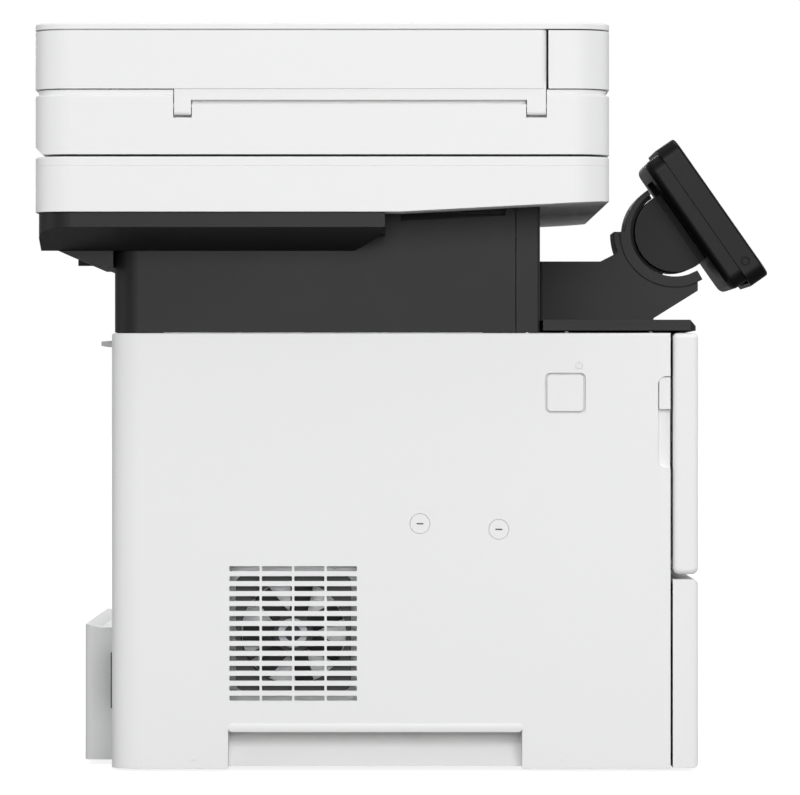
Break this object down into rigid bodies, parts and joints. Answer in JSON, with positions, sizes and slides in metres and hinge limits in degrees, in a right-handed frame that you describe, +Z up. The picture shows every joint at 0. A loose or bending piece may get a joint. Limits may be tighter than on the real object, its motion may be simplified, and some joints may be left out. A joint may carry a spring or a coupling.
{
  "type": "photocopier",
  "caption": "Desktop multifunction copier with flatbed scanner, document feeder, tilting touch panel, in-body output bay, paper cassette and opening covers",
  "frame": {"origin": "on the floor under the middle of the machine's box", "axes": "+Z up, the front faces -Y, the user's left is -X"},
  "size_m": [0.494, 0.4523, 0.452],
  "materials": {
    "housing_white": "fine moulded grain, light grey-white",
    "waist_black": "fine moulded grain, near black",
    "panel_black": "smooth moulded black with a soft sheen",
    "screen_glass": "gloss black glass over a display",
    "scan_glass": "clear float glass",
    "pressed_steel": "zinc plated sheet",
    "foot_rubber": "moulded rubber",
    "tail_grey": "moulded mid grey",
    "sheet_white": "thin white backing sheet on foam",
    "works_grey": "glass-filled black-grey moulding",
    "roller_rubber": "ground roller rubber",
    "board_green": "circuit board with parts",
    "motor_metal": "motor can and gears",
    "start_green": "translucent green key",
    "stop_orange": "orange key"
  },
  "bodies": {
    "chassis": {"adf_hinge_brackets": "pressed_steel", "base_pan": "pressed_steel", "bay_ceiling": "housing_white", "carriage_rod": "pressed_steel", "cassette_rails": "works_grey", "exit_guide": "waist_black", "fan_housing": "works_grey", "front_deck": "waist_black", "fuser_frame": "works_grey", "laser_unit": "works_grey", "left_frame_plate": "pressed_steel", "left_side_cover": "housing_white", "lift_pockets": "housing_white", "main_board": "board_green", "main_motor": "motor_metal", "output_tray": "waist_black", "panel_neck": "waist_black", "platen_glass": "scan_glass", "power_inlet": "works_grey", "rear_panel": "housing_white", "right_frame_plate": "pressed_steel", "right_side_cover": "housing_white", "rubber_feet": "foot_rubber", "scanner_base": "housing_white", "scanner_skirt": "waist_black", "scanner_top_frame": "housing_white", "screw_caps": "housing_white", "tail_box": "tail_grey", "toner_cartridge": "works_grey", "upper_stays": "pressed_steel", "waist_covers": "waist_black", "waist_pillars": "waist_black"},
    "front_cover": {"front_cover": "housing_white"},
    "mp_tray": {"mp_tray": "housing_white"},
    "cassette": {"cassette_tray": "works_grey", "cassette_front": "housing_white"},
    "lift_plate": {"lift_plate": "pressed_steel"},
    "left_paper_guide": {"left_paper_guide": "works_grey"},
    "right_paper_guide": {"right_paper_guide": "works_grey"},
    "rear_cover": {"rear_cover": "housing_white"},
    "power_button": {"power_button": "housing_white"},
    "fan_rotor": {"fan_rotor": "works_grey"},
    "exit_roller": {"exit_roller": "roller_rubber"},
    "pickup_roller": {"pickup_roller": "roller_rubber"},
    "scan_carriage": {"scan_carriage": "works_grey"},
    "feeder": {"adf_base": "housing_white", "adf_hinge_pins": "pressed_steel", "platen_sheet": "sheet_white", "adf_upper_frame": "housing_white"},
    "feeder_cover": {"feeder_cover": "housing_white", "feeder_top_plate": "housing_white"},
    "document_tray": {"document_tray": "housing_white"},
    "front_document_guide": {"front_document_guide": "housing_white"},
    "rear_document_guide": {"rear_document_guide": "housing_white"},
    "feed_roller": {"adf_feed_roller": "roller_rubber"},
    "panel": {"panel_bezel": "panel_black", "panel_rear_case": "panel_black", "touch_screen": "screen_glass"},
    "start_key": {"start_key": "start_green"},
    "stop_key": {"stop_key": "stop_orange"}
  },
  "joints": [
    {"name": "front_cover_hinge", "type": "hinge", "parent": "chassis", "child": "front_cover", "pos_m": [0, -0.17, 0.1245], "axis": [1, 0, 0], "range_deg": [0, 75]},
    {"name": "mp_tray_hinge", "type": "hinge", "parent": "front_cover", "child": "mp_tray", "pos_m": [0, -0.1725, 0.133], "axis": [1, 0, 0], "range_deg": [0, 45]},
    {"name": "cassette_slide", "type": "slide", "parent": "chassis", "child": "cassette", "axis": [0, -1, 0], "range_m": [0, 0.28]},
    {"name": "lift_plate_hinge", "type": "hinge", "parent": "cassette", "child": "lift_plate", "pos_m": [0, 0.038, 0.0137], "axis": [-1, 0, 0], "range_deg": [0, 11]},
    {"name": "left_paper_guide_slide", "type": "slide", "parent": "cassette", "child": "left_paper_guide", "axis": [1, 0, 0], "range_m": [0, 0.031]},
    {"name": "right_paper_guide_slide", "type": "slide", "parent": "cassette", "child": "right_paper_guide", "axis": [-1, 0, 0], "range_m": [0, 0.031]},
    {"name": "rear_cover_hinge", "type": "hinge", "parent": "chassis", "child": "rear_cover", "pos_m": [0, 0.1782, 0.1], "axis": [-1, 0, 0], "range_deg": [0, 85]},
    {"name": "power_button_travel", "type": "slide", "parent": "chassis", "child": "power_button", "axis": [1, 0, 0], "range_m": [0, 0.002], "stiffness_N_per_m": 300},
    {"name": "fan_spin", "type": "hinge", "parent": "chassis", "child": "fan_rotor", "pos_m": [-0.19, 0.0703, 0.0836], "axis": [1, 0, 0], "continuous": true},
    {"name": "exit_roller_spin", "type": "hinge", "parent": "chassis", "child": "exit_roller", "pos_m": [0, 0.149, 0.284], "axis": [1, 0, 0], "continuous": true},
    {"name": "pickup_roller_spin", "type": "hinge", "parent": "chassis", "child": "pickup_roller", "pos_m": [0, -0.118, 0.078], "axis": [1, 0, 0], "continuous": true},
    {"name": "scan_carriage_slide", "type": "slide", "parent": "chassis", "child": "scan_carriage", "axis": [1, 0, 0], "range_m": [0, 0.372]},
    {"name": "feeder_hinge", "type": "hinge", "parent": "chassis", "child": "feeder", "pos_m": [0, 0.219, 0.379], "axis": [-1, 0, 0], "range_deg": [0, 70]},
    {"name": "feeder_cover_hinge", "type": "hinge", "parent": "feeder", "child": "feeder_cover", "pos_m": [-0.2438, 0.03, 0.402], "axis": [0, -1, 0], "range_deg": [0, 75]},
    {"name": "document_tray_hinge", "type": "hinge", "parent": "feeder", "child": "document_tray", "pos_m": [-0.066, 0.053, 0.442], "axis": [0, -1, 0], "range_deg": [0, 30]},
    {"name": "front_document_guide_slide", "type": "slide", "parent": "document_tray", "child": "front_document_guide", "axis": [0, 1, 0], "range_m": [0, 0.034]},
    {"name": "rear_document_guide_slide", "type": "slide", "parent": "document_tray", "child": "rear_document_guide", "axis": [0, -1, 0], "range_m": [0, 0.034]},
    {"name": "feed_roller_spin", "type": "hinge", "parent": "feeder", "child": "feed_roller", "pos_m": [-0.15, 0.058, 0.418], "axis": [0, 1, 0], "continuous": true},
    {"name": "panel_tilt", "type": "hinge", "parent": "chassis", "child": "panel", "pos_m": [0, -0.1697, 0.3324], "axis": [-1, 0, 0], "range_deg": [0, 35]},
    {"name": "start_key_travel", "type": "slide", "parent": "panel", "child": "start_key", "axis": [0, 0.8191, -0.5736], "range_m": [0, 0.0008], "stiffness_N_per_m": 250},
    {"name": "stop_key_travel", "type": "slide", "parent": "panel", "child": "stop_key", "axis": [0, 0.8191, -0.5736], "range_m": [0, 0.0008], "stiffness_N_per_m": 250}
  ],
  "couplings": [
    {"joint": "right_paper_guide_slide", "follows": "left_paper_guide_slide", "ratio": 1},
    {"joint": "rear_document_guide_slide", "follows": "front_document_guide_slide", "ratio": 1}
  ]
}
